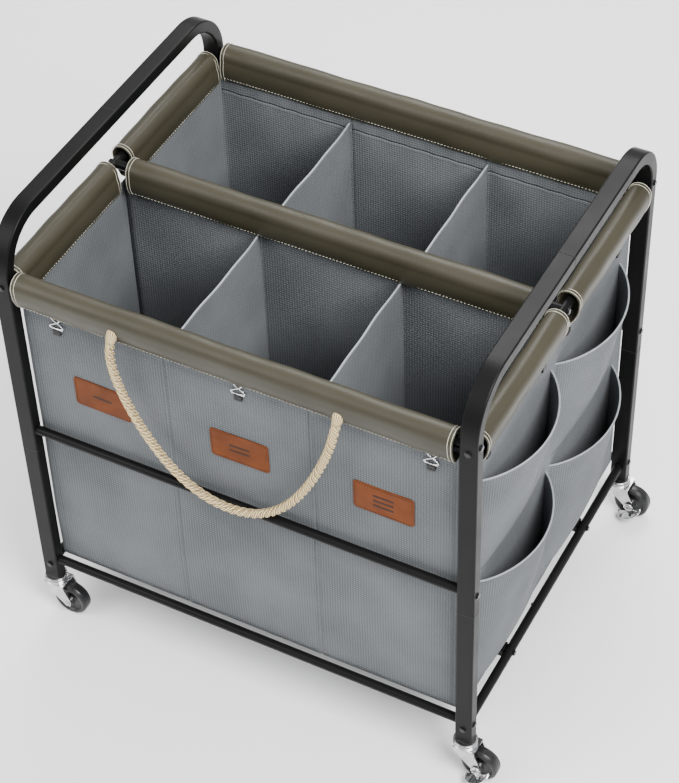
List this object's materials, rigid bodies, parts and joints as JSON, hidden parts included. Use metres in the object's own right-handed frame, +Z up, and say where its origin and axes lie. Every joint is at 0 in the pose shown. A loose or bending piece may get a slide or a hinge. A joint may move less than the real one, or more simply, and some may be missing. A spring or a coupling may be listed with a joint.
{
  "type": "laundry sorter cart",
  "caption": "Rolling laundry sorter: an open tube frame with arched ends, a compartmented fabric bag hung from padded rails, side pockets, a rope handle and swivel casters.",
  "frame": {"origin": "on the floor, below the middle of the sorter's bounding box; the middle of the four legs is 20.75 mm to the left and 9.1 mm behind", "axes": "+X to the right along the long front, +Y from front to back, +Z up"},
  "size_m": [0.8816, 0.7102, 0.886],
  "materials": {
    "frame_black": "satin powder coat",
    "insert_plastic": "matt",
    "bolt_steel": "black oxide",
    "bag_fabric": "woven polyester",
    "board_fabric": "fabric-covered board",
    "sleeve_leather": "soft sheen",
    "patch_leather": "matt",
    "rope_cotton": "twisted cotton",
    "caster_zinc": "bright zinc plate",
    "wheel_black": "smooth"
  },
  "bodies": {
    "frame": {"upper_tube_left_front": "frame_black", "upper_tube_left_back": "frame_black", "upper_tube_right_front": "frame_black", "upper_tube_right_back": "frame_black", "lower_leg_left_front": "frame_black", "lower_leg_left_back": "frame_black", "lower_leg_right_front": "frame_black", "lower_leg_right_back": "frame_black", "tube_joint_inserts": "insert_plastic", "top_rail_front": "frame_black", "top_rail_middle": "frame_black", "top_rail_back": "frame_black", "top_rail_left": "frame_black", "top_rail_right": "frame_black", "mid_rails": "frame_black", "bottom_rail_front": "frame_black", "bottom_rail_back": "frame_black", "bottom_rail_left": "frame_black", "bottom_rail_right": "frame_black", "cross_bars": "frame_black", "frame_bolts": "bolt_steel", "rail_inserts": "insert_plastic", "caster_sockets": "insert_plastic", "bag_front_panel": "bag_fabric", "bag_back_panel": "bag_fabric", "bag_left_panel": "bag_fabric", "bag_right_panel": "bag_fabric", "bag_floor": "bag_fabric", "bag_middle_divider": "bag_fabric", "bag_cross_dividers": "bag_fabric", "base_boards": "board_fabric", "sleeve_front": "sleeve_leather", "sleeve_middle": "sleeve_leather", "sleeve_back": "sleeve_leather", "sleeve_left_front": "sleeve_leather", "sleeve_left_back": "sleeve_leather", "sleeve_right_front": "sleeve_leather", "sleeve_right_back": "sleeve_leather", "side_pockets_upper": "bag_fabric", "side_pockets_lower": "bag_fabric", "label_patches": "patch_leather", "clip_tabs": "sleeve_leather", "clip_wires": "caster_zinc", "clip_jaws": "caster_zinc", "rope_handle": "rope_cotton", "caster_stems": "caster_zinc"},
    "caster_left_front": {"caster_fork_left_front": "caster_zinc", "caster_axle_left_front": "caster_zinc"},
    "wheel_left_front": {"caster_wheel_left_front": "wheel_black"},
    "caster_left_back": {"caster_fork_left_back": "caster_zinc", "caster_axle_left_back": "caster_zinc"},
    "wheel_left_back": {"caster_wheel_left_back": "wheel_black"},
    "caster_right_front": {"caster_fork_right_front": "caster_zinc", "caster_axle_right_front": "caster_zinc"},
    "wheel_right_front": {"caster_wheel_right_front": "wheel_black"},
    "pedal_right_front": {"brake_pedal_right_front": "caster_zinc"},
    "caster_right_back": {"caster_fork_right_back": "caster_zinc", "caster_axle_right_back": "caster_zinc"},
    "wheel_right_back": {"caster_wheel_right_back": "wheel_black"},
    "pedal_right_back": {"brake_pedal_right_back": "caster_zinc"}
  },
  "joints": [
    {"name": "swivel_left_front", "type": "hinge", "parent": "frame", "child": "caster_left_front", "pos_m": [-0.42075, -0.3169, 0.07], "axis": [0, 0, 1], "continuous": true},
    {"name": "wheel_spin_left_front", "type": "hinge", "parent": "caster_left_front", "child": "wheel_left_front", "pos_m": [-0.39175, -0.3169, 0.0325], "axis": [0, 1, 0], "continuous": true},
    {"name": "swivel_left_back", "type": "hinge", "parent": "frame", "child": "caster_left_back", "pos_m": [-0.42075, 0.3351, 0.07], "axis": [0, 0, 1], "continuous": true},
    {"name": "wheel_spin_left_back", "type": "hinge", "parent": "caster_left_back", "child": "wheel_left_back", "pos_m": [-0.39175, 0.3351, 0.0325], "axis": [0, 1, 0], "continuous": true},
    {"name": "swivel_right_front", "type": "hinge", "parent": "frame", "child": "caster_right_front", "pos_m": [0.37925, -0.3169, 0.07], "axis": [0, 0, 1], "continuous": true},
    {"name": "wheel_spin_right_front", "type": "hinge", "parent": "caster_right_front", "child": "wheel_right_front", "pos_m": [0.40825, -0.3169, 0.0325], "axis": [0, 1, 0], "continuous": true},
    {"name": "brake_right_front", "type": "hinge", "parent": "caster_right_front", "child": "pedal_right_front", "pos_m": [0.40825, -0.3361, 0.0325], "axis": [0, -1, 0], "range_deg": [0, 14]},
    {"name": "swivel_right_back", "type": "hinge", "parent": "frame", "child": "caster_right_back", "pos_m": [0.37925, 0.3351, 0.07], "axis": [0, 0, 1], "continuous": true},
    {"name": "wheel_spin_right_back", "type": "hinge", "parent": "caster_right_back", "child": "wheel_right_back", "pos_m": [0.40825, 0.3351, 0.0325], "axis": [0, 1, 0], "continuous": true},
    {"name": "brake_right_back", "type": "hinge", "parent": "caster_right_back", "child": "pedal_right_back", "pos_m": [0.40825, 0.3159, 0.0325], "axis": [0, -1, 0], "range_deg": [0, 14]}
  ]
}
